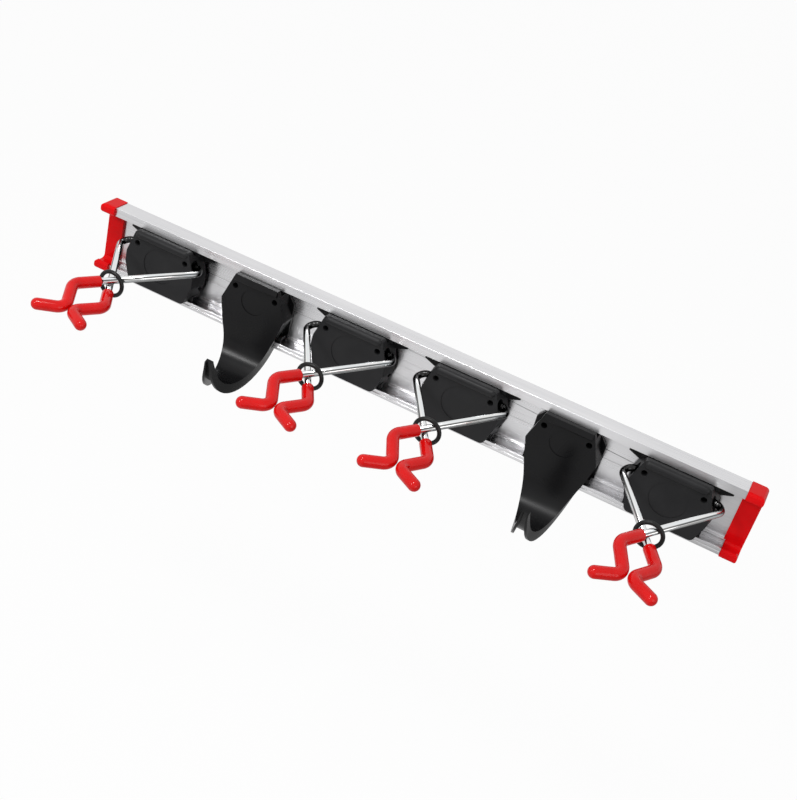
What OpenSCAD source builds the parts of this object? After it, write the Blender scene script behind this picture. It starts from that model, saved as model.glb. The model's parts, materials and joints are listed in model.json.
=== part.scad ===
// Tool hanger rail for a wall: an aluminium C rail with two end caps, four gripping tool
// holders with crossed wire arms, and two broom hooks. The six carriers slide along the rail.
// Frame: +X runs along the rail, to the right as seen from the front. +Z is up and the front
// looks towards -Y. The origin is the centre of the rail's back face, which lies on the wall.
// All sizes are in millimetres.

/* [Rail] */
// Length of the rail along the wall
rail_length = 500; // [300:1:1200]
// Height of the rail on the wall
rail_height = 54; // [50:0.5:60]
// Depth of the rail from the wall to the front of its lips
rail_depth = 14.5; // [13:0.1:18]
// Thickness of the back wall and of the top and bottom flanges
rail_wall = 1.8; // [1.4:0.1:2.4]
// Thickness of the two turned-in lips
lip_wall = 1.6; // [1.2:0.1:2.2]
// Height of the upper lip, from the top of the rail to its lower edge
upper_lip_height = 6.6; // [5:0.1:9]
// Height of the lower lip, from the bottom of the rail to its upper edge
lower_lip_height = 5.4; // [4:0.1:8]
// Height of the guide ledge's top above the bottom of the rail
ledge_height = 7; // [6:0.1:9]
// Depth of the guide ledge from the wall
ledge_depth = 4.3; // [3:0.1:6]
// Thickness of the guide ledge
ledge_wall = 1.3; // [1:0.1:2]
// Width of the fine groove along the front of each lip
lip_groove_width = 0.6; // [0.3:0.1:1]
// Depth of that groove
lip_groove_depth = 0.3; // [0.2:0.1:0.6]
// Distance of each wall screw hole from its end of the rail
wall_hole_inset = 48; // [20:0.5:120]
// Diameter of the wall screw holes
wall_hole_d = 5; // [4:0.1:7]

/* [End caps] */
// How far each end cap stands out beyond the rail's end
cap_reach = 12; // [8:0.5:20]
// How far the cap stands proud of the rail at the top and bottom
cap_lap = 0.6; // [0:0.1:2]
// How far the cap's lips stand proud of the rail's front
cap_front_lap = 2.2; // [0:0.1:4]
// Thickness of the cap's top and bottom flanges
cap_flange = 4.9; // [4.5:0.1:6]
// Height of the cap's two lips, measured from its top and bottom edges
cap_lip_height = 7.4; // [6.5:0.1:9]
// Thickness of those lips, whose inner ends are round
cap_lip = 4.4; // [3:0.1:6]
// Thickness of the web that joins the two flanges along the wall
cap_web = 4; // [3:0.1:6]
// How far the web laps over the inside of the rail's back wall
cap_web_lap = 1.4; // [1:0.1:4]
// Radius of the cap's outer corners, seen from the front
cap_corner_r = 3; // [1:0.1:3.2]
// Radius of the front edges along its top and bottom
cap_front_r = 2.6; // [1:0.1:3]
// Radius of the hollow corner between the web and each flange
cap_fillet_r = 3; // [1:0.1:5]
// How far the cap's two plugs reach into the rail
cap_plug = 3; // [2:0.1:6]
// Size of the lower plug, a low tab behind the rail's lip: depth and height
cap_low_plug = [3.9, 1.1]; // [0.8:0.1:6]

/* [Carrier clip] */
// Thickness of the clip's base plate on the rail's back wall
clip_plate = 2.5; // [2:0.1:4]
// Thickness of the clip's webs and flanges
clip_wall = 2.2; // [1.6:0.1:3]
// Distance from the top of the rail down to the top web's underside
clip_top_drop = 10; // [9:0.1:13]
// Distance from the bottom of the rail up to the bottom web's top face
clip_bottom_rise = 9.6; // [9:0.1:13]
// Width of a tool holder's slider
slider_width = 56; // [40:0.5:62]
// Distance between the tips of the slider's two pointed wings
wing_span = 74.8; // [60:0.2:80]
// Lower and upper height of the blunt wing tips
wing_tip_z = [13.4, 15.6]; // [10:0.1:20]
// Lower and upper height of the wings where they leave the slider
wing_root_z = [9.8, 19.2]; // [4:0.1:20]
// Half the width of the slider's window, which clears the head of a wall screw
slider_window = 12; // [8:0.5:14]

/* [Tool holder] */
// Front of the housing's face plate, measured out from the wall
face_reach = 20; // [18:0.1:26]
// Thickness of the part of the face plate that passes in front of the rail's lips
face_plate = 4.5; // [3:0.1:6]
// Wall thickness of the hollow housing
housing_wall = 1.6; // [1.2:0.1:3]
// Width of the housing at its top edge
housing_top_width = 46.5; // [30:0.5:60]
// Width of the housing's face at its widest
housing_width = 59; // [40:0.5:70]
// Width of the housing at its bottom edge
housing_bottom_width = 48.8; // [30:0.2:60]
// How much the housing widens on each side towards the wall
housing_draft = 2.2; // [0:0.1:4]
// Height of the housing's top edge
housing_top_z = 20.4; // [19.6:0.1:23]
// Height of the upper end of the housing's widest part
housing_wide_top_z = 1.5; // [-2:0.1:8]
// Height of the lower end of the housing's widest part
housing_wide_bottom_z = -7.5; // [-12:0.1:-2]
// Height of the housing's bottom edge
housing_bottom_z = -22.8; // [-26:0.1:-20]
// Radii of the housing's corners at the top, at the two ends of the widest part and at the bottom
housing_corner_r = [2.5, 6, 6, 4]; // [2:0.1:7]
// Radius of the rounded ridge along the top of the housing
ridge_r = 3.2; // [2:0.1:4]
// Length of that ridge
ridge_length = 46.5; // [30:0.5:50]
// Height of the ridge's centre line
ridge_z = 17.6; // [16:0.1:19]
// Height above which the face steps forward, under the ridge
face_step_z = 14.6; // [12:0.1:16]
// How far the face steps forward there
face_step = 0.5; // [0.2:0.1:1]
// Diameter of the plain round recess in the face
badge_d = 27; // [20:0.5:34]
// Depth of that recess
badge_depth = 0.5; // [0.3:0.1:1]
// Height of the recess's centre
badge_z = -1; // [-4:0.1:4]
// Diameter of the holder's two screw holes
screw_hole_d = 4.5; // [3.5:0.1:6]
// Distance between the holder's two screw holes
screw_spacing = 42.2; // [36:0.2:46]
// Height of the holder's screw holes
screw_z = 10.5; // [8:0.1:12]
// Length of the slanted window in each side wall
window_length = 6.6; // [4:0.1:9]
// Width of that window
window_width = 2.8; // [2:0.1:4]
// Height of the window's middle above the pin's foot
window_rise = 1.3; // [0:0.1:3]
// Wall thickness of the sockets around the pins
socket_wall = 1.6; // [1.2:0.1:2.4]
// Wall thickness of the bosses around the screw holes
boss_wall = 1.2; // [1:0.1:2]

/* [Wire arms] */
// Diameter of the wire
wire_d = 5; // [4:0.1:6]
// Sideways distance of each arm's upright pin from the holder's centre
pin_x = 25.3; // [20:0.1:28]
// Foot of the pin: distance from the wall, and height
pin_foot = [7.6, -12]; // [-30:0.1:30]
// Bend at the head of the pin: distance from the wall, and height
pin_head = [14.6, 10]; // [-30:0.1:30]
// Outer bend of the arm: sideways distance, distance from the wall
outer_bend = [37, 17.8]; // [10:0.1:60]
// Middle height of the two outer bends
outer_bend_z = 7.1; // [4:0.1:12]
// How far the right arm's bend is above that height and the left arm's is below it
outer_bend_rise = 1.3; // [1:0.1:4]
// Bend radius at the head of the pin, to the wire's centre line
pin_bend_r = 4.5; // [3:0.1:7]
// Bend radius at the outer bend
outer_bend_r = 6; // [4:0.1:8]

/* [Grips] */
// Diameter of the soft grips
grip_d = 8.4; // [6:0.1:10]
// Shoulder of the grip: sideways distance, distance from the wall
grip_shoulder = [13.7, 105.8]; // [0:0.1:160]
// Middle height of the two shoulders, and how far each arm is above or below it
grip_shoulder_z = [6.6, 3.7]; // [0:0.1:12]
// Waist, where the two grips nearly meet: sideways distance, distance from the wall
grip_waist = [2.2, 127.6]; // [0:0.1:160]
// Centre of the grip's round tip: sideways distance, distance from the wall
grip_tip = [17.9, 137.7]; // [0:0.1:160]
// Height of the waist and of the tip
grip_tip_z = 4.4; // [0:0.1:12]
// Distance from the wall at which the grip starts
grip_start = 88.5; // [80:0.1:100]
// How far the wire reaches into the grip, measured away from the wall
wire_hold = 11; // [6:0.5:14]
// Bend radius at the shoulder
shoulder_bend_r = 9; // [4:0.1:12]
// Bend radius at the waist
waist_bend_r = 7; // [4:0.1:12]
// Rounding of the grip's mouth
grip_mouth_r = 0.8; // [0.2:0.1:1.2]

/* [Ring] */
// Outside diameter of the rubber ring around the crossed wires
ring_d = 20.8; // [16:0.1:24]
// Thickness of the ring's round section
ring_section = 3; // [2:0.1:4]
// Distance of the ring's centre from the wall
ring_reach = 80; // [70:0.1:90]
// Height of the ring's centre
ring_z = 6.7; // [4:0.1:9]

/* [Hook] */
// Front of the hook's plate, and the strap's load face, measured out from the wall
hook_face_reach = 19; // [18:0.1:24]
// Thickness of the hook's plate where it passes in front of the rail's lips
hook_plate = 3.5; // [2.5:0.1:4.2]
// Thickness of the walls around the hook's hollow back
hook_wall = 2.4; // [1.6:0.1:4]
// Width of the hook's base plate on the rail's back wall
hook_base_width = 52; // [40:0.5:56]
// Top of the hook's plate: distance below the top of the rail, and half width
hook_top = [6, 18]; // [2:0.1:30]
// Widest place of the hook's plate: height, and half width
hook_wide = [-2.2, 26.4]; // [-10:0.1:40]
// Where the strap begins: distance above the bottom of the rail, and half width
hook_strap_top = [9.4, 22.8]; // [2:0.1:30]
// Half width of the strap where it passes the bottom of the rail
hook_neck_half = 19.8; // [14:0.1:24]
// Gap between the bottom of the rail and the strap's ribs
hook_neck_gap = 0.6; // [0.4:0.1:2]
// Width of the hook's clip behind the upper lip and behind the lower lip
hook_clip_widths = [37, 50]; // [30:0.5:60]
// Inner radius of the hook's bend
hook_bend_r = 23; // [15:0.1:35]
// Angle that the bend sweeps
hook_bend_angle = 157; // [120:1:180]
// Straight length beyond the bend, up to the tip
hook_tip_length = 14; // [5:0.5:30]
// Half width of the strap at the tip
hook_tip_half = 2.6; // [2:0.1:6]
// Depth of the strap's two edge ribs below the rail
hook_rib_depth = 11; // [6:0.1:14]
// Depth of the ribs at the tip
hook_tip_depth = 3.4; // [2:0.1:6]
// Thickness of the strap's web
hook_web = 2.4; // [1.6:0.1:4]
// Thickness of the strap's ribs
hook_rib = 1.9; // [1.2:0.1:3]
// Distance between the hook's two screw holes
hook_screw_spacing = 33.4; // [28:0.2:40]
// Height of the hook's screw holes
hook_screw_z = 11.5; // [8:0.1:14]
// Length of the wedge-shaped ridge along the top of the hook
hook_ridge_length = 35.4; // [24:0.2:36]
// Height of that ridge, from the top of the plate down
hook_ridge_height = 5.1; // [3:0.1:7]
// How far the ridge stands out at its top and at its lower edge
hook_ridge_reach = [0.4, 1.8]; // [0.2:0.1:3]
// Radii of the plate's corners, from the top to the neck
hook_corner_r = [0.6, 2.5, 8, 0.5]; // [0.2:0.1:12]
// Diameter of the plain round recess in the hook's face
hook_badge_d = 20; // [14:0.5:26]
// Height of that recess's centre
hook_badge_z = 4; // [-4:0.1:8]

/* [Places along the rail] */
// Distance of the outer tool holders' centres from the left and right ends of the rail
outer_holder_inset = [47, 44.5]; // [42:0.5:80]
// Places of the two inner tool holders, as shares of the rail's length to the right of its middle
inner_holder_share = [-0.08, 0.098]; // [-0.4:0.001:0.4]
// Places of the two hooks, as shares of the rail's length to the right of its middle
hook_share = [-0.243, 0.254]; // [-0.4:0.001:0.4]

/* [Fits] */
// Gap between a sliding clip and the rail, on each side
slide_gap = 0.3; // [0.2:0.05:0.6]
// Gap between a pin and its socket, on the radius
pin_gap = 0.05; // [0.01:0.01:0.1]
// Gap between the housing and the slider's webs
seat_gap = 0.3; // [0.1:0.05:0.6]

/* [Hidden] */
$fn = 48;
half_height = rail_height / 2;
half_length = rail_length / 2;
lip_back = rail_depth - lip_wall;
channel_top = half_height - rail_wall;
cap_top_z = half_height + cap_lap;
cap_depth = rail_depth + cap_front_lap;
clip_back = rail_wall + slide_gap;
clip_front = lip_back - slide_gap;
clip_top = channel_top - slide_gap;
plate_front = clip_back + clip_plate;
clip_web_top_z = half_height - clip_top_drop;
clip_web_bottom_z = clip_bottom_rise - half_height;
hook_neck_z = -half_height - hook_neck_gap;
hook_top_z = half_height - hook_top[0];
holder_places = [
    outer_holder_inset[0] - half_length, inner_holder_share[0] * rail_length,
    inner_holder_share[1] * rail_length, half_length - outer_holder_inset[1]
];
hook_places = rail_length * hook_share;
wire_r = wire_d / 2;
grip_r = grip_d / 2;
sink = 0.01;
past = 1;
very_wide = 2 * rail_height;
opening_reach = 12;
wire_room = 1.1;
wire_opening_below = 4;
wire_opening_above = 0.4;
wire_opening_shift = 0.9;
rod_sides = 20;
bend_steps = 7;

// Block between two opposite corners. Depths are measured out from the wall, towards -Y.
module block(x0, x1, depth0, depth1, z0, z1) {
    translate([x0, -depth1, z0]) cube([x1 - x0, depth1 - depth0, z1 - z0]);
}

// The same block, centred on the carrier.
module centred_block(width, depth0, depth1, z0, z1) {
    block(-width / 2, width / 2, depth0, depth1, z0, z1);
}

// Round hole or boss along Y, between two depths.
module post(x, z, r, depth0, depth1) {
    translate([x, -depth0, z]) rotate([90, 0, 0]) cylinder(r = r, h = depth1 - depth0);
}

// Rod along X with round ends.
module round_bar(length, r, depth, z) {
    translate([-length / 2 + r, -depth, z]) rotate([0, 90, 0]) cylinder(r = r, h = length - 2 * r);
    for (side = [-1, 1]) translate([side * (length / 2 - r), -depth, z]) sphere(r = r);
}

function unit(v) = v / norm(v);
function turn_between(a, b) = acos(min(1, max(-1, a * b)));

// Straight rod between two points.
module rod(a, b, r) {
    run = b - a;
    translate(a)
        rotate([0, acos(run[2] / norm(run)), atan2(run[1], run[0])])
            cylinder(r = r, h = norm(run));
}

// Points along a path of corners whose inner corners are rounded, each as [place, direction]
function rounded_path(path, bends) =
    let (
        last = len(path) - 1,
        ways = [for (i = [0 : last - 1]) unit(path[i + 1] - path[i])]
    )
    concat(
        [[path[0], ways[0]]],
        [for (i = [1 : last - 1]) each bend_points(path[i], ways[i - 1], ways[i], bends[i])],
        [[path[last], ways[last - 1]]]
    );

function bend_points(corner, inward, outward, bend_r) =
    let (
        turn = turn_between(inward, outward),
        side = unit(outward - (inward * outward) * inward),
        centre = corner - bend_r * tan(turn / 2) * inward + bend_r * side
    )
    [for (k = [0 : bend_steps])
        let (a = turn * k / bend_steps)
        [centre + bend_r * (sin(a) * inward - cos(a) * side), cos(a) * inward + sin(a) * side]];

// Ring of points around a place, square to its direction. The reference keeps the rings in line.
function ring_points(place, way, r, reference) =
    let (
        across = unit(cross(way, reference)),
        over = cross(across, way)
    )
    [for (k = [0 : rod_sides - 1])
        let (a = 360 * k / rod_sides)
        place + r * (cos(a) * across + sin(a) * over)];

// Round rod swept along stations of [place, direction, radius]
module swept_rod(stations, reference) {
    count = len(stations);
    points = [for (s = stations) each ring_points(s[0], s[1], s[2], reference)];
    sides = [
        for (i = [0 : count - 2], k = [0 : rod_sides - 1])
            let (
                a = i * rod_sides + k,
                b = i * rod_sides + (k + 1) % rod_sides
            )
            each [[a, b, b + rod_sides], [a, b + rod_sides, a + rod_sides]]
    ];
    first = [for (k = [1 : rod_sides - 2]) [0, k + 1, k]];
    last = [for (f = first) [for (k = [2 : -1 : 0]) f[k] + (count - 1) * rod_sides]];
    polyhedron(points = points, faces = concat(first, last, sides), convexity = 6);
}

// Rail
module rail() {
    x1 = half_length;
    z1 = half_height;
    groove_z = z1 - lower_lip_height / 2;
    color("silver")
        difference() {
            union() {
                block(-x1, x1, 0, rail_wall, -z1, z1);
                block(-x1, x1, 0, rail_depth, z1 - rail_wall, z1);
                block(-x1, x1, 0, rail_depth, -z1, -z1 + rail_wall);
                block(-x1, x1, lip_back, rail_depth, z1 - upper_lip_height, z1);
                block(-x1, x1, lip_back, rail_depth, -z1, -z1 + lower_lip_height);
                block(-x1, x1, 0, ledge_depth, -z1 + ledge_height - ledge_wall, -z1 + ledge_height);
            }
            block(-x1 - past, x1 + past, rail_depth - lip_groove_depth, rail_depth + past,
                -groove_z - lip_groove_width / 2, -groove_z + lip_groove_width / 2);
            for (side = [-1, 1])
                post(side * (x1 - wall_hole_inset), 0, wall_hole_d / 2, -past, rail_wall + past);
        }
}

// End caps: the right one is drawn, the left one is its mirror image.
// Outline of its upper half from the front, with both outer corners rounded.
module cap_outline(low_z) {
    x0 = half_length;
    x1 = x0 + cap_reach;
    r = cap_corner_r;
    block(x0, x1 - r, 0, cap_depth, low_z, cap_top_z);
    block(x0, x1, 0, cap_depth, low_z + r, cap_top_z - r);
    for (z = [low_z + r, cap_top_z - r]) post(x1 - r, z, r, 0, cap_depth);
}

// Round edge of the cap along X
module cap_edge(depth, z, r) {
    rod([half_length, -depth, z], [half_length + cap_reach, -depth, z], r);
}

// Web along the wall and flange of the upper half, with a hollow corner between them
module cap_flange_section() {
    x0 = half_length;
    x1 = x0 + cap_reach;
    flange_z = cap_top_z - cap_flange;
    fillet_end = cap_web + cap_fillet_r;
    fillet_z = flange_z - cap_fillet_r;
    block(x0, x1, 0, cap_web, 0, cap_top_z);
    block(x0, x1, 0, cap_depth - cap_front_r, flange_z, cap_top_z);
    difference() {
        block(x0, x1, 0, fillet_end, fillet_z, flange_z);
        rod([x0 - past, -fillet_end, fillet_z], [x1 + past, -fillet_end, fillet_z], cap_fillet_r);
    }
}

// Lip in front, round along its top edge and at its inner end
module cap_lip_section() {
    x0 = half_length;
    x1 = x0 + cap_reach;
    end_r = cap_lip / 2;
    end_z = cap_top_z - cap_lip_height + end_r;
    block(x0, x1, cap_depth - cap_lip, cap_depth, end_z, cap_top_z - cap_front_r);
    block(x0, x1, cap_depth - cap_lip, cap_depth - cap_front_r, end_z, cap_top_z);
    cap_edge(cap_depth - cap_front_r, cap_top_z - cap_front_r, cap_front_r);
    cap_edge(cap_depth - end_r, end_z, end_r);
}

module cap_half() {
    intersection() {
        cap_outline(-cap_flange);
        cap_flange_section();
    }
    intersection() {
        cap_outline(cap_top_z - cap_lip_height);
        cap_lip_section();
    }
}

// What holds the cap: the web's lap, a plug under the top flange and a tab behind the lower lip
module cap_plugs() {
    x0 = half_length;
    lap_z = half_height - ledge_height - slide_gap;
    tab_back = lip_back - cap_low_plug[0];
    block(x0 - cap_web_lap, x0, rail_wall, cap_web, -lap_z, lap_z);
    block(x0 - cap_plug, x0, rail_wall, lip_back, cap_top_z - cap_flange, channel_top);
    block(x0 - cap_plug, x0, tab_back, lip_back, -channel_top, cap_low_plug[1] - channel_top);
}

module end_cap() {
    color("red") {
        cap_half();
        mirror([0, 0, 1]) cap_half();
        cap_plugs();
    }
}

module end_cap_right() end_cap();
module end_cap_left() mirror([1, 0, 0]) end_cap();

// Clip that runs in the rail: webs above and below, each with a flange behind a lip
module clip_rails(top_width, bottom_width) {
    centred_block(top_width, clip_back, clip_front, clip_web_top_z, clip_web_top_z + clip_wall);
    centred_block(top_width, clip_front - clip_wall, clip_front, clip_web_top_z, clip_top);
    centred_block(bottom_width, clip_back, clip_front, clip_web_bottom_z - clip_wall, clip_web_bottom_z);
    centred_block(bottom_width, clip_front - clip_wall, clip_front, -clip_top, clip_web_bottom_z);
}

// The two pointed wings of a slider, at its base plate
module wings() {
    tip = wing_span / 2;
    root = slider_width / 2;
    outline = [
        [-root, wing_root_z[0]], [root, wing_root_z[0]], [tip, wing_tip_z[0]], [tip, wing_tip_z[1]],
        [root, wing_root_z[1]], [-root, wing_root_z[1]], [-tip, wing_tip_z[1]], [-tip, wing_tip_z[0]]
    ];
    translate([0, -clip_back, 0])
        rotate([90, 0, 0])
            linear_extrude(height = clip_plate) polygon(outline);
}

// Slider of a tool holder
module slider() {
    color("dimgray")
        difference() {
            union() {
                centred_block(slider_width, clip_back, plate_front,
                    clip_web_bottom_z - clip_wall, clip_web_top_z + clip_wall);
                clip_rails(slider_width, slider_width);
                wings();
            }
            centred_block(2 * slider_window, 0, plate_front + past, -slider_window, slider_window);
            for (side = [-1, 1])
                post(side * screw_spacing / 2, screw_z, screw_hole_d / 2, 0, plate_front + past);
        }
}

// Outline with round corners: half of it is given as [half width, height] from the top down
function corner_centre(before, corner, after, r) =
    let (
        a = unit(before - corner),
        b = unit(after - corner)
    )
    corner + unit(a + b) * r / sin(turn_between(a, b) / 2);

function both_sides(half) = concat(
    half,
    [for (i = [len(half) - 1 : -1 : 0]) [-half[i][0], half[i][1]]]
);

function both_radii(half) = concat(half, [for (i = [len(half) - 1 : -1 : 0]) half[i]]);

module outline_layer(half, radii, depth, inset) {
    corners = both_sides(half);
    rounds = both_radii(radii);
    count = len(corners);
    for (i = [0 : count - 1]) {
        r = max(rounds[i], inset + 0.2);
        centre = corner_centre(corners[(i + count - 1) % count], corners[i], corners[(i + 1) % count], r);
        post(centre[0], centre[1], r - inset, depth, depth + sink, $fn = 32);
    }
}

// Space between the slider's webs, from its base plate out to a front, less a wall
module seat_room(front, wall) {
    centred_block(very_wide, plate_front, front, clip_web_bottom_z + seat_gap + wall,
        clip_web_top_z - seat_gap - wall);
}

// Points of one arm, in the order pin foot, pin head, outer bend, shoulder, waist, tip.
// The right arm (side 1) passes over the left arm (side -1) and ends on the left.
function arm_path(side) = [
    [side * pin_x, -pin_foot[0], pin_foot[1]],
    [side * pin_x, -pin_head[0], pin_head[1]],
    [side * outer_bend[0], -outer_bend[1], outer_bend_z + side * outer_bend_rise],
    [-side * grip_shoulder[0], -grip_shoulder[1], grip_shoulder_z[0] + side * grip_shoulder_z[1]],
    [-side * grip_waist[0], -grip_waist[1], grip_tip_z],
    [-side * grip_tip[0], -grip_tip[1], grip_tip_z]
];
pin_way = unit([0, pin_foot[0] - pin_head[0], pin_head[1] - pin_foot[1]]);
pin_lean = atan2(pin_head[0] - pin_foot[0], pin_head[1] - pin_foot[1]);

// Socket in which an arm's pin turns, and the room for the pin and for the bend at its head
module pin_socket(side) {
    socket_length = 11;
    foot = arm_path(side)[0];
    rod(foot - socket_wall * pin_way, foot + socket_length * pin_way, wire_r + socket_wall);
}

module pin_bore(side) {
    path = arm_path(side);
    rod(path[0] - pin_gap * pin_way, path[1] + wire_r * pin_way, wire_r + pin_gap);
}

// Slanted window through which the pin's foot shows
module side_window(side) {
    half = (window_length - window_width) / 2;
    translate([side * pin_x, -pin_foot[0], pin_foot[1] + window_rise])
        rotate([45, 0, 0])
            rotate([0, side * 90, 0]) {
                translate([-half, -window_width / 2, 0]) cube([2 * half, window_width, opening_reach]);
                for (end = [-half, half])
                    translate([end, 0, 0]) cylinder(d = window_width, h = opening_reach);
            }
}

// Leaning opening through which the wire leaves the housing, with room for its swing
module wire_opening(side) {
    r = wire_r + wire_room;
    translate([side * pin_x, -pin_head[0] - wire_opening_shift, pin_head[1]])
        rotate([pin_lean, 0, 0]) {
            for (z = [-wire_opening_below, wire_opening_above])
                translate([0, 0, z]) rotate([0, side * 90, 0]) cylinder(r = r, h = opening_reach);
            translate([side > 0 ? 0 : -opening_reach, -r, -wire_opening_below])
                cube([opening_reach, 2 * r, wire_opening_below + wire_opening_above]);
        }
}

// Housing of a tool holder, a hollow box that is open towards the slider
module housing_shape(front, inset) {
    function half(draft) = [
        [housing_top_width / 2 + draft, housing_top_z],
        [housing_width / 2 + draft, housing_wide_top_z],
        [housing_width / 2 + draft, housing_wide_bottom_z],
        [housing_bottom_width / 2 + draft, housing_bottom_z]
    ];
    hull() {
        outline_layer(half(0), housing_corner_r, front - sink, inset);
        outline_layer(half(housing_draft), housing_corner_r, plate_front, inset);
    }
}

module housing_inside() {
    inner_front = face_reach - housing_wall;
    difference() {
        intersection() {
            housing_shape(inner_front, housing_wall);
            seat_room(inner_front, housing_wall);
        }
        for (side = [-1, 1]) {
            post(side * screw_spacing / 2, screw_z, screw_hole_d / 2 + boss_wall,
                plate_front - past, face_reach);
            pin_socket(side);
        }
    }
}

module housing() {
    face = face_reach + face_step;
    color("black")
        difference() {
            union() {
                intersection() {
                    housing_shape(face, 0);
                    union() {
                        seat_room(face_reach, 0);
                        centred_block(very_wide, face_reach - face_plate, face + past,
                            -half_height, half_height);
                    }
                }
                round_bar(ridge_length, ridge_r, face_reach - 1, ridge_z);
            }
            housing_inside();
            centred_block(very_wide, face_reach, face + past, -half_height, face_step_z);
            post(0, badge_z, badge_d / 2, face_reach - badge_depth, face_reach + past);
            for (side = [-1, 1]) {
                post(side * screw_spacing / 2, screw_z, screw_hole_d / 2, 0, face + past);
                pin_bore(side);
                side_window(side);
                wire_opening(side);
            }
        }
}

// Start of the grip, and the end of the wire inside it, on the straight before the shoulder
function arm_straight(side, reach) =
    let (path = arm_path(side))
    path[2] + (path[3] - path[2]) * (reach - outer_bend[1]) / (grip_shoulder[1] - outer_bend[1]);

// Wire arm: the straight pin is a true cylinder, and the bent wire starts inside its head
module wire(side) {
    path = arm_path(side);
    start = path[1] - (pin_bend_r + 1.5) * pin_way;
    bent = rounded_path(
        [start, path[1], path[2], arm_straight(side, grip_start + wire_hold)],
        [0, pin_bend_r, outer_bend_r, 0]
    );
    color("lightgray") {
        rod(path[0], start + pin_way, wire_r);
        swept_rod([for (s = bent) [s[0], s[1], wire_r - 0.02]], [-0.6 * side, 0.4, 0.7]);
    }
}

// Soft grip over the end of an arm, with a rounded mouth and a round tip
module grip(side) {
    path = arm_path(side);
    straight = unit(path[3] - path[2]);
    end_way = unit(path[5] - path[4]);
    mouth = arm_straight(side, grip_start);
    covered = rounded_path(
        [mouth + grip_mouth_r * straight, path[3], path[4], path[5]],
        [0, shoulder_bend_r, waist_bend_r, 0]
    );
    stations = concat(
        [for (a = [90, 45]) [mouth + grip_mouth_r * (1 - sin(a)) * straight, straight,
            grip_r - grip_mouth_r * (1 - cos(a))]],
        [for (s = covered) [s[0], s[1], grip_r]],
        [for (a = [25, 50, 70]) [path[5] + grip_r * sin(a) * end_way, end_way, grip_r * cos(a)]]
    );
    color("red")
        difference() {
            swept_rod(stations, [0, 0, 1]);
            rod(mouth - straight, arm_straight(side, grip_start + wire_hold), wire_r + pin_gap);
        }
}

// Rubber ring around the crossed wires
module ring() {
    color("black")
        translate([0, -ring_reach, ring_z])
            rotate([90, 0, 0])
                rotate_extrude()
                    translate([(ring_d - ring_section) / 2, 0]) circle(d = ring_section);
}

// Hook: the strap is a channel, open away from the load, that tapers as it bends out and up
hook_stations = 24;
hook_curve = hook_bend_r * hook_bend_angle * PI / 180;

// Load face at a length along the strap, as [depth from the wall, height, angle turned]
function hook_point(s) =
    let (
        turn = min(hook_bend_angle, s / hook_bend_r * 180 / PI),
        rest = max(0, s - hook_curve)
    )
    [
        hook_face_reach + hook_bend_r * (1 - cos(turn)) + rest * sin(turn),
        hook_neck_z - hook_bend_r * sin(turn) - rest * cos(turn),
        turn
    ];

// Half width of the strap and depth of its ribs, at a fraction of its length
function strap_half(t) = hook_tip_half + (hook_neck_half - hook_tip_half) * pow(1 - t, 1.35);
function strap_depth(t) = hook_tip_depth + (hook_rib_depth - hook_tip_depth) * pow(1 - t, 0.75);

// Section of the strap, as points [along X, away from the load]
function strap_section(t) =
    let (
        w = strap_half(t),
        d = strap_depth(t),
        rib = min(hook_rib, w * 0.45),
        web = min(hook_web, d * 0.6)
    )
    [[-w, 0], [w, 0], [w, d], [w - rib, d], [w - rib, web], [rib - w, web], [rib - w, d], [-w, d]];

module hook_strap() {
    total = hook_curve + hook_tip_length;
    points = [
        for (i = [0 : hook_stations])
            let (at = hook_point(i / hook_stations * total))
            for (p = strap_section(i / hook_stations))
                [p[0], p[1] * cos(at[2]) - at[0], at[1] - p[1] * sin(at[2])]
    ];
    sides = [
        for (i = [0 : hook_stations - 1], k = [0 : 7])
            let (
                a = i * 8 + k,
                b = i * 8 + (k + 1) % 8
            )
            each [[a, b, b + 8], [a, b + 8, a + 8]]
    ];
    cap = [[0, 1, 4], [0, 4, 5], [1, 2, 3], [1, 3, 4], [0, 5, 6], [0, 6, 7]];
    first = [for (c = cap) [c[2], c[1], c[0]]];
    last = [for (c = cap) [for (k = c) hook_stations * 8 + k]];
    polyhedron(points = points, faces = concat(first, last, sides), convexity = 4);
}

module hook_shape(back, front, inset) {
    below = [hook_neck_half - 0.3, hook_neck_z - 0.9];
    half = [
        [hook_top[1], hook_top_z],
        [hook_wide[1], hook_wide[0]],
        [hook_strap_top[1], hook_strap_top[0] - half_height],
        below
    ];
    hull() {
        outline_layer(half, hook_corner_r, front - sink, inset);
        outline_layer(half, hook_corner_r, back, inset);
    }
}

// Base plate of the hook, with its upper corners cut off
module hook_base() {
    x1 = hook_base_width / 2;
    top_half = hook_clip_widths[0] / 2;
    cut_z = clip_web_top_z - 9;
    low_z = clip_web_bottom_z - clip_wall;
    outline = [
        [-x1, low_z], [x1, low_z], [x1, cut_z], [top_half, clip_web_top_z],
        [-top_half, clip_web_top_z], [-x1, cut_z]
    ];
    translate([0, -clip_back, 0])
        rotate([90, 0, 0])
            linear_extrude(height = clip_plate) polygon(outline);
}

// Wedge-shaped ridge along the top of the hook's face
module hook_ridge() {
    front = hook_face_reach + hook_ridge_reach[1];
    low_z = hook_top_z - hook_ridge_height;
    section = [
        [hook_face_reach - past, hook_top_z], [hook_face_reach + hook_ridge_reach[0], hook_top_z],
        [front, low_z + 1.1], [front - 0.4, low_z + 0.5], [hook_face_reach - past, low_z - 0.5]
    ];
    translate([-hook_ridge_length / 2, 0, 0])
        rotate([90, 0, 90])
            linear_extrude(height = hook_ridge_length)
                polygon([for (p = section) [-p[0], p[1]]]);
}

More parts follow.
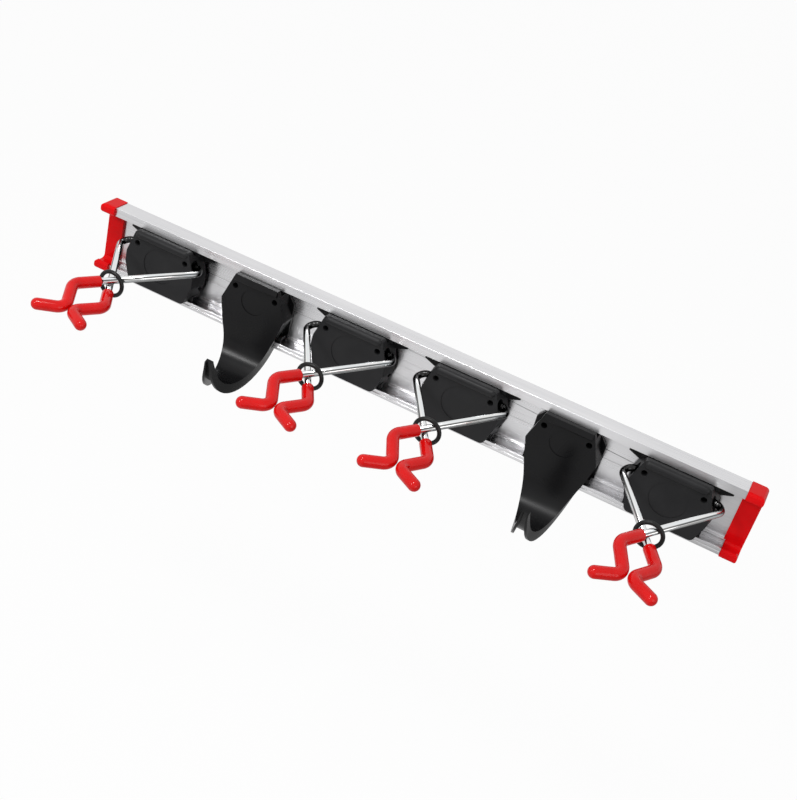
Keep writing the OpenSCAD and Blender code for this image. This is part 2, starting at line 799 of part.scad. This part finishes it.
module hook_hollow() {
    inner_front = hook_face_reach - hook_wall;
    intersection() {
        hook_shape(0, inner_front, hook_wall);
        centred_block(very_wide, 0, inner_front,
            clip_web_bottom_z + hook_wall, clip_web_top_z - hook_wall);
    }
}

module hook() {
    color("black")
        difference() {
            union() {
                difference() {
                    union() {
                        intersection() {
                            hook_shape(clip_back, hook_face_reach, 0);
                            union() {
                                centred_block(very_wide, clip_back, hook_face_reach,
                                    clip_web_bottom_z, clip_web_top_z);
                                centred_block(very_wide, hook_face_reach - hook_plate,
                                    hook_face_reach + past, -rail_height, half_height);
                            }
                        }
                        hook_base();
                    }
                    hook_hollow();
                }
                for (side = [-1, 1])
                    post(side * hook_screw_spacing / 2, hook_screw_z, screw_hole_d / 2 + boss_wall,
                        clip_back, hook_face_reach - past);
                clip_rails(hook_clip_widths[0], hook_clip_widths[1]);
                hook_ridge();
                hook_strap();
            }
            post(0, hook_badge_z, hook_badge_d / 2, hook_face_reach - badge_depth, hook_face_reach + past);
            for (side = [-1, 1])
                post(side * hook_screw_spacing / 2, hook_screw_z, screw_hole_d / 2,
                    0, hook_face_reach + past);
        }
}

// The sub-parts in their places
module holder_at(index) {
    translate([holder_places[index - 1], 0, 0]) children();
}

module slider_1() holder_at(1) slider();
module housing_1() holder_at(1) housing();
module wire_right_1() holder_at(1) wire(1);
module wire_left_1() holder_at(1) wire(-1);
module grip_right_1() holder_at(1) grip(1);
module grip_left_1() holder_at(1) grip(-1);
module ring_1() holder_at(1) ring();
module slider_2() holder_at(2) slider();
module housing_2() holder_at(2) housing();
module wire_right_2() holder_at(2) wire(1);
module wire_left_2() holder_at(2) wire(-1);
module grip_right_2() holder_at(2) grip(1);
module grip_left_2() holder_at(2) grip(-1);
module ring_2() holder_at(2) ring();
module slider_3() holder_at(3) slider();
module housing_3() holder_at(3) housing();
module wire_right_3() holder_at(3) wire(1);
module wire_left_3() holder_at(3) wire(-1);
module grip_right_3() holder_at(3) grip(1);
module grip_left_3() holder_at(3) grip(-1);
module ring_3() holder_at(3) ring();
module slider_4() holder_at(4) slider();
module housing_4() holder_at(4) housing();
module wire_right_4() holder_at(4) wire(1);
module wire_left_4() holder_at(4) wire(-1);
module grip_right_4() holder_at(4) grip(1);
module grip_left_4() holder_at(4) grip(-1);
module ring_4() holder_at(4) ring();
module hook_1() translate([hook_places[0], 0, 0]) hook();
module hook_2() translate([hook_places[1], 0, 0]) hook();

rail();
end_cap_left();
end_cap_right();
slider_1();
housing_1();
wire_right_1();
wire_left_1();
grip_right_1();
grip_left_1();
ring_1();
slider_2();
housing_2();
wire_right_2();
wire_left_2();
grip_right_2();
grip_left_2();
ring_2();
slider_3();
housing_3();
wire_right_3();
wire_left_3();
grip_right_3();
grip_left_3();
ring_3();
slider_4();
housing_4();
wire_right_4();
wire_left_4();
grip_right_4();
grip_left_4();
ring_4();
hook_1();
hook_2();
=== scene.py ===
import bpy, bmesh, json, math
from mathutils import Matrix, Vector


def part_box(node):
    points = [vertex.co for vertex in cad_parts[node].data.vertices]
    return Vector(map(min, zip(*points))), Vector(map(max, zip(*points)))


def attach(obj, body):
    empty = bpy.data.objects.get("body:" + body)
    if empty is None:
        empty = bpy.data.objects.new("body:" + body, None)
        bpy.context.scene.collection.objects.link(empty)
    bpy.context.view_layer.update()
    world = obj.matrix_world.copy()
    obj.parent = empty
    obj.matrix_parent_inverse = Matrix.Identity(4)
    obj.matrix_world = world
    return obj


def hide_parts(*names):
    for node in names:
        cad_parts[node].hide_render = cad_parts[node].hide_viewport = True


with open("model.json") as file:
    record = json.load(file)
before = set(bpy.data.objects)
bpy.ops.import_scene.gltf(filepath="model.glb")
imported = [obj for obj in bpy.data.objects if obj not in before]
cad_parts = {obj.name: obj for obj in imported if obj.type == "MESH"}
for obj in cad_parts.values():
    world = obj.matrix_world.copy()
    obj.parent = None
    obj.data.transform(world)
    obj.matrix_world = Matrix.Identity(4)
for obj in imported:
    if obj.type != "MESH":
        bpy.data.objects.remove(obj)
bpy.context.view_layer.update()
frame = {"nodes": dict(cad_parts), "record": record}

print("frame loaded")

millimetre = 0.001


# camera, matched to the photograph
camera = {
    "place": (231.97, -748.03, 441.29),   # mm from the middle of the rail's back face
    "right": (0.8776, 0.4193, 0.2325),    # the picture's right and down in the rail's axes
    "down": (0.4067, -0.3943, -0.8241),
    "lens": 56.4,
    "sensor": 36.0,
    "nearest": 0.01, "farthest": 20.0,    # metres in front of the lens
}


def addCamera(view):
    data = bpy.data.cameras.new("camera")
    data.lens = view["lens"]
    data.sensor_width = view["sensor"]
    data.sensor_fit = "HORIZONTAL"
    data.clip_start = view["nearest"]
    data.clip_end = view["farthest"]
    right = Vector(view["right"]).normalized()
    up = -Vector(view["down"])
    up = (up - up.dot(right) * right).normalized()
    back = right.cross(up)
    turn = Matrix((right, up, back)).transposed().to_4x4()
    obj = bpy.data.objects.new("camera", data)
    obj.matrix_world = Matrix.Translation(Vector(view["place"]) * millimetre) @ turn
    bpy.context.collection.objects.link(obj)
    bpy.context.scene.camera = obj


addCamera(camera)
print("camera placed")


# steps that the materials share
def newMaterial(name):
    material = bpy.data.materials.new(name)
    material.use_nodes = True
    nodes, links = material.node_tree.nodes, material.node_tree.links
    return material, nodes, links, nodes["Principled BSDF"]


def calculate(nodes, links, operation, first, second):
    # each of the two values is a number or another node's output
    node = nodes.new("ShaderNodeMath")
    node.operation = operation
    for slot, value in zip(node.inputs, (first, second)):
        if isinstance(value, float):
            slot.default_value = value
        else:
            links.new(value, slot)
    return node.outputs[0]


def remap(nodes, links, source, low, high, toLow=0.0, toHigh=1.0):
    node = nodes.new("ShaderNodeMapRange")
    node.inputs["From Min"].default_value = low
    node.inputs["From Max"].default_value = high
    node.inputs["To Min"].default_value = toLow
    node.inputs["To Max"].default_value = toHigh
    links.new(source, node.inputs["Value"])
    return node


def greyRamp(nodes, links, source, stops):
    # stops are (place from 0 to 1, level)
    node = nodes.new("ShaderNodeValToRGB")
    steps = node.color_ramp.elements
    while len(steps) < len(stops):
        steps.new(0.5)
    for step, (at, level) in zip(steps, stops):
        step.position = at
        step.color = (level, level, level, 1)
    links.new(source, node.inputs["Fac"])
    return node


# studio: white for the camera and for reflections, three soft lamps, pale floor
studio = {
    "worldLevel": 0.42,
    "worldWhite": 1.0,                    # share of white that the camera and reflections see
    "floorHeight": -0.42,
    "floorSize": 14.0,
    "floorColour": (0.86, 0.86, 0.86),
    "floorRoughness": 0.9,
    "floorWhite": 0.95,                   # a little below 1, so that the floor keeps the shadow
    # what the metal sees of the floor from left to right, a painted reflection dimmer towards the ends and
    # most towards the right: metres from the middle, and strength
    "floorSeen": [(-0.75, 0.78), (-0.35, 0.86), (-0.10, 0.98), (0.06, 0.98), (0.24, 0.50), (0.40, 0.42)],
    # name, place in metres, size, watts
    "lamps": [
        ("overhead", (-0.25, -0.60, 1.30), 0.28, 9.0),
        ("key", (-0.75, -1.25, 0.95), 0.24, 7.0),
        ("fill", (1.3, -1.0, 0.35), 0.9, 4.0),
    ],
    "aim": (0.0, -0.04, 0.0),
}


def whiteBackground(nodes, links, lit, white, whiteShare, output):
    # the camera, reflections and clear materials see white, and the light falls on the lit shader
    path = nodes.new("ShaderNodeLightPath")
    seen = calculate(nodes, links, "MAXIMUM", path.outputs["Is Camera Ray"], path.outputs["Is Glossy Ray"])
    seen = calculate(nodes, links, "MAXIMUM", seen, path.outputs["Is Transmission Ray"])
    mix = nodes.new("ShaderNodeMixShader")
    links.new(calculate(nodes, links, "MULTIPLY", seen, whiteShare), mix.inputs[0])
    links.new(lit.outputs[0], mix.inputs[1])
    links.new(white.outputs[0], mix.inputs[2])
    links.new(mix.outputs[0], output.inputs["Surface"])


def floorStrength(nodes, links, seen):
    # full strength for the camera, and the listed levels along the rail for reflections, a painted
    # reflection dimmest towards the right
    place = nodes.new("ShaderNodeTexCoord")
    parts = nodes.new("ShaderNodeSeparateXYZ")
    links.new(place.outputs["Object"], parts.inputs[0])
    first, last = seen[0][0], seen[-1][0]
    share = remap(nodes, links, parts.outputs["X"], first, last)
    stops = [((at - first) / (last - first), level) for at, level in seen]
    paintedReflectionLevel = greyRamp(nodes, links, share.outputs["Result"], stops)
    paintedReflectionLevel.color_ramp.interpolation = "EASE"
    path = nodes.new("ShaderNodeLightPath")
    return calculate(nodes, links, "MAXIMUM", path.outputs["Is Camera Ray"], paintedReflectionLevel.outputs["Color"])


def buildWorld(room):
    world = bpy.data.worlds.new("studio")
    world.use_nodes = True
    nodes, links = world.node_tree.nodes, world.node_tree.links
    soft = nodes["Background"]
    soft.inputs["Strength"].default_value = room["worldLevel"]
    soft.inputs["Color"].default_value = (1, 1, 1, 1)
    white = nodes.new("ShaderNodeBackground")
    white.inputs["Strength"].default_value = 1.0
    white.inputs["Color"].default_value = (1, 1, 1, 1)
    whiteBackground(nodes, links, soft, white, room["worldWhite"], nodes["World Output"])
    bpy.context.scene.world = world


def buildFloor(room):
    mesh = bpy.data.meshes.new("floor")
    half = room["floorSize"] / 2
    corners = [(-half, -half), (half, -half), (half, half), (-half, half)]
    mesh.from_pydata([(x, y, room["floorHeight"]) for x, y in corners], [], [(0, 1, 2, 3)])
    floor = bpy.data.objects.new("floor", mesh)
    bpy.context.collection.objects.link(floor)
    material, nodes, links, paper = newMaterial("paleFloor")
    paper.inputs["Base Color"].default_value = (*room["floorColour"], 1)
    paper.inputs["Roughness"].default_value = room["floorRoughness"]
    white = nodes.new("ShaderNodeEmission")
    white.inputs["Color"].default_value = (1, 1, 1, 1)
    links.new(floorStrength(nodes, links, room["floorSeen"]), white.inputs["Strength"])
    whiteBackground(nodes, links, paper, white, room["floorWhite"], nodes["Material Output"])
    mesh.materials.append(material)


def hangLamps(room):
    for name, place, size, watts in room["lamps"]:
        data = bpy.data.lights.new(name, "AREA")
        data.shape = "SQUARE"
        data.size = size
        data.energy = watts
        lamp = bpy.data.objects.new(name, data)
        lamp.location = place
        lamp.rotation_euler = (Vector(room["aim"]) - Vector(place)).to_track_quat("-Z", "Y").to_euler()
        bpy.context.collection.objects.link(lamp)


bpy.context.scene.view_settings.view_transform = "Standard"
buildWorld(studio)
buildFloor(studio)
hangLamps(studio)
print("studio lit")


# finishes; the patterns' scales are repeats per metre, and their depths are metres
noiseLow, noiseHigh = 0.3, 0.7            # a noise lies mostly between these


def noiseAt(nodes, links, stretch, scale, detail, distortion=0.0):
    place = nodes.new("ShaderNodeTexCoord")
    mapping = nodes.new("ShaderNodeMapping")
    mapping.inputs["Scale"].default_value = stretch
    links.new(place.outputs["Object"], mapping.inputs["Vector"])
    noise = nodes.new("ShaderNodeTexNoise")
    noise.inputs["Scale"].default_value = scale
    noise.inputs["Detail"].default_value = detail
    noise.inputs["Distortion"].default_value = distortion
    links.new(mapping.outputs["Vector"], noise.inputs["Vector"])
    return noise.outputs["Fac"]


def spread(nodes, links, source, low, high):
    return remap(nodes, links, source, noiseLow, noiseHigh, low, high).outputs["Result"]


def tint(nodes, links, source, first, second):
    mix = nodes.new("ShaderNodeMix")
    mix.data_type = "RGBA"
    mix.inputs["A"].default_value = (*first, 1)
    mix.inputs["B"].default_value = (*second, 1)
    links.new(source, mix.inputs["Factor"])
    return mix.outputs["Result"]


def bump(nodes, links, source, distance, strength):
    relief = nodes.new("ShaderNodeBump")
    relief.inputs["Distance"].default_value = distance
    relief.inputs["Strength"].default_value = strength
    links.new(source, relief.inputs["Height"])
    return relief.outputs["Normal"]


aluminium = {
    "light": (0.76, 0.755, 0.765), "dark": (0.60, 0.60, 0.615),
    "roughness": (0.24, 0.34),
    "stretch": 0.75,                      # reflections run across the drawn lines
    "lines": (3.0, 1600.0, 1600.0),       # drawn along the rail
    "patches": (6.0, 30.0, 30.0),
    "lineDetail": 4.0, "patchDetail": 2.0,
    "lineDepth": 0.000008, "lineStrength": 0.6,
}


def makeAluminium(look):
    material, nodes, links, metal = newMaterial("brushedAluminium")
    metal.inputs["Metallic"].default_value = 1.0
    metal.inputs["Anisotropic"].default_value = look["stretch"]
    across = nodes.new("ShaderNodeTangent")
    across.direction_type = "RADIAL"
    across.axis = "X"
    links.new(across.outputs["Tangent"], metal.inputs["Tangent"])
    lines = noiseAt(nodes, links, look["lines"], 1.0, look["lineDetail"])
    patches = noiseAt(nodes, links, look["patches"], 1.0, look["patchDetail"])
    both = calculate(nodes, links, "ADD", lines, patches)
    half = calculate(nodes, links, "MULTIPLY", both, 0.5)
    colour = tint(nodes, links, spread(nodes, links, half, 0, 1), look["dark"], look["light"])
    links.new(colour, metal.inputs["Base Color"])
    links.new(spread(nodes, links, half, *look["roughness"]), metal.inputs["Roughness"])
    links.new(bump(nodes, links, lines, look["lineDepth"], look["lineStrength"]), metal.inputs["Normal"])
    return material


# two shades that flow into each other, the roughness they have, and a fine grain
moulded = {
    "capRed": {
        "first": (0.74, 0.004, 0.006), "second": (0.66, 0.003, 0.005), "roughness": (0.12, 0.20),
        "grain": 900.0, "grainDepth": 0.000006, "flow": 60.0, "gloss": 0.08},
    "housingBlack": {
        "first": (0.014, 0.014, 0.015), "second": (0.019, 0.019, 0.020), "roughness": (0.34, 0.46),
        "grain": 2600.0, "grainDepth": 0.00002, "flow": 45.0, "gloss": 0.16},
    "hookBlack": {
        "first": (0.0045, 0.0045, 0.005), "second": (0.007, 0.007, 0.0075), "roughness": (0.22, 0.34),
        "grain": 1600.0, "grainDepth": 0.00001, "flow": 35.0, "gloss": 0.16},
    "sliderBlack": {
        "first": (0.010, 0.010, 0.011), "second": (0.015, 0.015, 0.016), "roughness": (0.38, 0.52),
        "grain": 2200.0, "grainDepth": 0.00002, "flow": 50.0, "gloss": 0.15},
    "ringRubber": {
        "first": (0.007, 0.007, 0.007), "second": (0.011, 0.011, 0.011), "roughness": (0.30, 0.44),
        "grain": 3000.0, "grainDepth": 0.00001, "flow": 150.0, "gloss": 0.22},
    "gripRed": {
        "first": (0.70, 0.005, 0.005), "second": (0.62, 0.004, 0.004), "roughness": (0.09, 0.17),
        "grain": 500.0, "grainDepth": 0.000012, "flow": 90.0, "gloss": 0.22},
}
mouldedPattern = {"detail": 2.0, "flowTwist": 0.4, "grainStrength": 0.5}


def makeMoulded(name, look, pattern):
    material, nodes, links, plastic = newMaterial(name)
    flow = noiseAt(nodes, links, (1, 1, 1), look["flow"], pattern["detail"], pattern["flowTwist"])
    grain = noiseAt(nodes, links, (1, 1, 1), look["grain"], pattern["detail"])
    colour = tint(nodes, links, spread(nodes, links, flow, 0, 1), look["first"], look["second"])
    links.new(colour, plastic.inputs["Base Color"])
    links.new(spread(nodes, links, flow, *look["roughness"]), plastic.inputs["Roughness"])
    links.new(bump(nodes, links, grain, look["grainDepth"], pattern["grainStrength"]),
        plastic.inputs["Normal"])
    plastic.inputs["Specular IOR Level"].default_value = look["gloss"]
    return material


plating = {
    # shade of the painted reflection bands, from the wire's top (0) round to its underside (1): a bright
    # top, a dark line, a second bright band and a darker underside
    "paintedReflectionBands": [(0.0, 0.80), (0.19, 0.84), (0.235, 0.15), (0.33, 0.12), (0.375, 0.76), (0.52, 0.78),
        (0.58, 0.22), (1.0, 0.30)],
    "cool": (0.92, 0.97, 1.0), "warm": (1.0, 0.98, 0.95),
    "roughness": (0.10, 0.20),
    "tintScale": (4.0, 9.0, 1.0),         # repeats along and around the wire
    "scratchScale": 900.0, "scratchDetail": 4.0, "scratchTwist": 1.0,
    "scratchDepth": 0.00001, "scratchStrength": 0.4,
    "shade": 0.035,                       # painted dark reflection on the bent leg beside the housing
    "shadeEnds": (0.31, 0.40),            # where that shade ends, in tenths of a metre from the pin's foot
}


def makePlating(look):
    material, nodes, links, metal = newMaterial("platedWire")
    metal.inputs["Metallic"].default_value = 1.0
    layout = nodes.new("ShaderNodeUVMap")
    layout.uv_map = "along"
    parts = nodes.new("ShaderNodeSeparateXYZ")
    links.new(layout.outputs["UV"], parts.inputs[0])
    # once round the wire is folded in half, so that both sides run from its top to its underside
    folded = calculate(nodes, links, "PINGPONG", parts.outputs["Y"], 0.5)
    fromTop = calculate(nodes, links, "MULTIPLY", folded, 2.0)
    # painted reflection: light and dark bands round the wire by their place from its top, standing in for
    # what the chrome reflects
    paintedBands = greyRamp(nodes, links, fromTop, look["paintedReflectionBands"])

    spaced = nodes.new("ShaderNodeMapping")
    spaced.inputs["Scale"].default_value = look["tintScale"]
    links.new(layout.outputs["UV"], spaced.inputs["Vector"])
    drift = nodes.new("ShaderNodeTexNoise")
    drift.inputs["Scale"].default_value = 1.0
    links.new(spaced.outputs["Vector"], drift.inputs["Vector"])
    tone = tint(nodes, links, spread(nodes, links, drift.outputs["Fac"], 0, 1), look["cool"], look["warm"])
    paintedBandsToned = nodes.new("ShaderNodeMix")
    paintedBandsToned.data_type = "RGBA"
    paintedBandsToned.blend_type = "MULTIPLY"
    paintedBandsToned.inputs["Factor"].default_value = 1.0
    links.new(paintedBands.outputs["Color"], paintedBandsToned.inputs["A"])
    links.new(tone, paintedBandsToned.inputs["B"])

    # painted dark reflection on the bent leg beside the housing, fading out between shadeEnds
    clear = remap(nodes, links, parts.outputs["X"], *look["shadeEnds"])
    clear.interpolation_type = "SMOOTHSTEP"
    leg = nodes.new("ShaderNodeMix")
    leg.data_type = "RGBA"
    leg.inputs["A"].default_value = (look["shade"], look["shade"], look["shade"], 1)
    links.new(clear.outputs["Result"], leg.inputs["Factor"])
    links.new(paintedBandsToned.outputs["Result"], leg.inputs["B"])
    links.new(leg.outputs["Result"], metal.inputs["Base Color"])

    scratches = noiseAt(nodes, links, (1, 1, 1), look["scratchScale"], look["scratchDetail"],
        look["scratchTwist"])
    links.new(spread(nodes, links, scratches, *look["roughness"]), metal.inputs["Roughness"])
    links.new(bump(nodes, links, scratches, look["scratchDepth"], look["scratchStrength"]),
        metal.inputs["Normal"])
    return material


finish = {name: makeMoulded(name, look, mouldedPattern) for name, look in moulded.items()}
finish["aluminium"] = makeAluminium(aluminium)
finish["wire"] = makePlating(plating)
print("materials made")


# round rods swept along rounded corners, for the wires, grips and rings
def roundedPath(corners, bends, steps):
    corners = [Vector(c) for c in corners]
    ways = [(b - a).normalized() for a, b in zip(corners, corners[1:])]
    stations = [(corners[0], ways[0])]
    for corner, inward, outward, radius in zip(corners[1:], ways, ways[1:], bends):
        turn = inward.angle(outward)
        side = (outward - inward.dot(outward) * inward).normalized()
        centre = corner - radius * math.tan(turn / 2) * inward + radius * side
        for k in range(steps + 1):
            a = turn * k / steps
            place = centre + radius * (math.sin(a) * inward - math.cos(a) * side)
            stations.append((place, math.cos(a) * inward + math.sin(a) * side))
    stations.append((corners[-1], ways[-1]))
    return stations


layoutUnit = 100.0                        # mm along a rod for 1 in the layout that its plating reads


def sweepRod(name, stations, sides, top, closed=False):
    # stations are (place, direction, radius) in mm; each ring of points starts towards top
    mesh = bmesh.new()
    layout = mesh.loops.layers.uv.new("along")
    rings, lengths, reached = [], [], 0.0
    for index, (place, way, radius) in enumerate(stations):
        across = (Vector(top) - Vector(top).dot(way) * way).normalized()
        over = way.cross(across)
        if index:
            reached += (place - stations[index - 1][0]).length / layoutUnit
        lengths.append(reached)
        ring = []
        for k in range(sides):
            a = 2 * math.pi * k / sides
            point = place + radius * (math.cos(a) * across + math.sin(a) * over)
            ring.append(mesh.verts.new(point * millimetre))
        rings.append(ring)
    pairs = [(i, i + 1) for i in range(len(rings) - 1)]
    if closed:
        pairs.append((len(rings) - 1, 0))
    for i, j in pairs:
        ends = (lengths[i], lengths[j] if j else reached)
        for k in range(sides):
            m = (k + 1) % sides
            face = mesh.faces.new((rings[i][k], rings[i][m], rings[j][m], rings[j][k]))
            around = (k / sides, (k + 1) / sides)
            spots = ((ends[0], around[0]), (ends[0], around[1]), (ends[1], around[1]), (ends[1], around[0]))
            for loop, spot in zip(face.loops, spots):
                loop[layout].uv = spot
    if not closed:
        mesh.faces.new(list(reversed(rings[0])))
        mesh.faces.new(rings[-1])
    for face in mesh.faces:
        face.smooth = True
    data = bpy.data.meshes.new(name)
    mesh.to_mesh(data)
    mesh.free()
    obj = bpy.data.objects.new(name, data)
    bpy.context.collection.objects.link(obj)
    return obj


# one arm of a tool holder, in mm from the middle of its holder; the right arm passes over
arm = {
    "pinFoot": (25.3, -7.6, -12.0),
    "pinHead": (25.3, -14.6, 10.0),
    "outerBend": (37.0, -17.8, 7.1),
    "outerRise": 1.3,                     # the right arm is this much higher there, and the left one lower
    "shoulder": (-13.7, -105.8, 6.6),
    "shoulderRise": 3.7,
    "waist": (-2.2, -127.6, 4.4),
    "tip": (-17.9, -137.7, 4.4),
    "bends": (4.5, 6.0, 9.0, 7.0),        # bend radii from the pin's head to the waist
    "wireRadius": 2.5,
    "gripRadius": 4.2,
    "gripStart": -88.5,
    "wireEnd": -99.5,
    "boreDepth": 2.5, "boreGap": 0.05,    # the grip's open mouth round the wire
    "mouthRound": 0.8,
    "mouthTurns": (90, 67, 45, 22),       # degrees round the mouth's edge
    "tipTurns": range(10, 90, 10),        # degrees round the grip's tip
    "sides": 40,
    "bendSteps": 18,
    "top": (0, 0, 1),
}


def armCorners(shape, side):
    def flip(point, rise=0.0):
        return (side * point[0], point[1], point[2] + side * rise)
    return [flip(shape["pinFoot"]), flip(shape["pinHead"]), flip(shape["outerBend"], shape["outerRise"]),
        flip(shape["shoulder"], shape["shoulderRise"]), flip(shape["waist"]), flip(shape["tip"])]


def onStraight(corners, depth):
    # the place on the straight run from the outer bend to the shoulder
    a, b = Vector(corners[2]), Vector(corners[3])
    return a + (b - a) * (depth - a.y) / (b.y - a.y)


def buildWire(shape, name, side, middle):
    corners = armCorners(shape, side)
    corners = [*corners[:3], onStraight(corners, shape["wireEnd"])]
    path = roundedPath(corners, shape["bends"][:2], shape["bendSteps"])
    stations = [(place + middle, way, shape["wireRadius"]) for place, way in path]
    return sweepRod(name, stations, shape["sides"], shape["top"])


def buildGrip(shape, name, side, middle):
    corners = armCorners(shape, side)
    mouth = onStraight(corners, shape["gripStart"])
    way = (Vector(corners[3]) - Vector(corners[2])).normalized()
    r, lip, bore = shape["gripRadius"], shape["mouthRound"], shape["wireRadius"] + shape["boreGap"]
    stations = [(mouth + shape["boreDepth"] * way, way, bore), (mouth, way, bore)]
    for degrees in shape["mouthTurns"]:
        a = math.radians(degrees)
        stations.append((mouth + lip * (1 - math.sin(a)) * way, way, r - lip * (1 - math.cos(a))))
    path = roundedPath([mouth + lip * way, *corners[3:]], shape["bends"][2:], shape["bendSteps"])
    stations += [(place, direction, r) for place, direction in path]
    tip, last = path[-1]
    for degrees in shape["tipTurns"]:
        a = math.radians(degrees)
        stations.append((tip + r * math.sin(a) * last, last, r * math.cos(a)))
    stations = [(place + middle, direction, radius) for place, direction, radius in stations]
    return sweepRod(name, stations, shape["sides"], shape["top"])


ring = {
    "centre": (0.0, -80.0, 6.7),
    "across": 20.8,
    "section": 3.0,
    "steps": 72,
    "sides": 20,
    "top": (0, -1, 0),
}


def buildRing(shape, name, middle):
    reach = (shape["across"] - shape["section"]) / 2
    stations = []
    for k in range(shape["steps"]):
        a = 2 * math.pi * k / shape["steps"]
        place = Vector(shape["centre"]) + reach * Vector((math.cos(a), 0, math.sin(a))) + middle
        stations.append((place, Vector((-math.sin(a), 0, math.cos(a))), shape["section"] / 2))
    return sweepRod(name, stations, shape["sides"], shape["top"], closed=True)


bodyOf = {node: body for body, nodes in frame["record"]["behaviour"]["bodies"].items() for node in nodes}


def standFor(obj, node, material):
    obj.data.materials.append(finish[material])
    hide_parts(node)
    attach(obj, bodyOf[node])


for number in range(1, 5):
    low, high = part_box(f"housing_{number}")
    middle = Vector(((low[0] + high[0]) / 2 / millimetre, 0, 0))
    for sideName, side in (("right", 1), ("left", -1)):
        wire = buildWire(arm, f"wireArm.{sideName}.{number}", side, middle)
        standFor(wire, f"wire_{sideName}_{number}", "wire")
        grip = buildGrip(arm, f"softGrip.{sideName}.{number}", side, middle)
        standFor(grip, f"grip_{sideName}_{number}", "gripRed")
    band = buildRing(ring, f"rubberRing.{number}", middle)
    standFor(band, f"ring_{number}", "ringRubber")
print("arms, grips and rings built")


# CAD pieces that keep their shape: finish and radius of the softened edges in mm
edges = {
    "rail": ("aluminium", 0.5),
    "end_cap_left": ("capRed", 1.5),
    "end_cap_right": ("capRed", 1.5),
    "slider": ("sliderBlack", 0.25),
    "housing": ("housingBlack", 0.4),
    "hook": ("hookBlack", 0.4),
}
softening = {
    "joinWithin": 0.000005,               # metres; facets are joined so that their edges can be softened
    "segments": 3,
    "sharperThan": 32,                    # degrees between two faces
    "flatWeight": 100,                    # on the rail the largest face decides the shading
    "roundWeight": 50,                    # elsewhere faces count by their area, so that bends look round
}


def dressNode(obj, material, radius, edge):
    obj.data.materials.clear()
    obj.data.materials.append(finish[material])
    for face in obj.data.polygons:
        face.use_smooth = True
    join = obj.modifiers.new("joinFacets", "WELD")
    join.merge_threshold = edge["joinWithin"]
    soften = obj.modifiers.new("softEdge", "BEVEL")
    soften.width = radius * millimetre
    soften.segments = edge["segments"]
    soften.limit_method = "ANGLE"
    soften.angle_limit = math.radians(edge["sharperThan"])
    soften.harden_normals = True
    even = obj.modifiers.new("evenShading", "WEIGHTED_NORMAL")
    even.keep_sharp = False
    even.weight = edge["flatWeight" if material == "aluminium" else "roundWeight"]


for name, obj in frame["nodes"].items():
    kind = name if name in edges else name.split("_")[0]
    if kind in edges:
        dressNode(obj, *edges[kind], softening)
print("CAD pieces dressed")
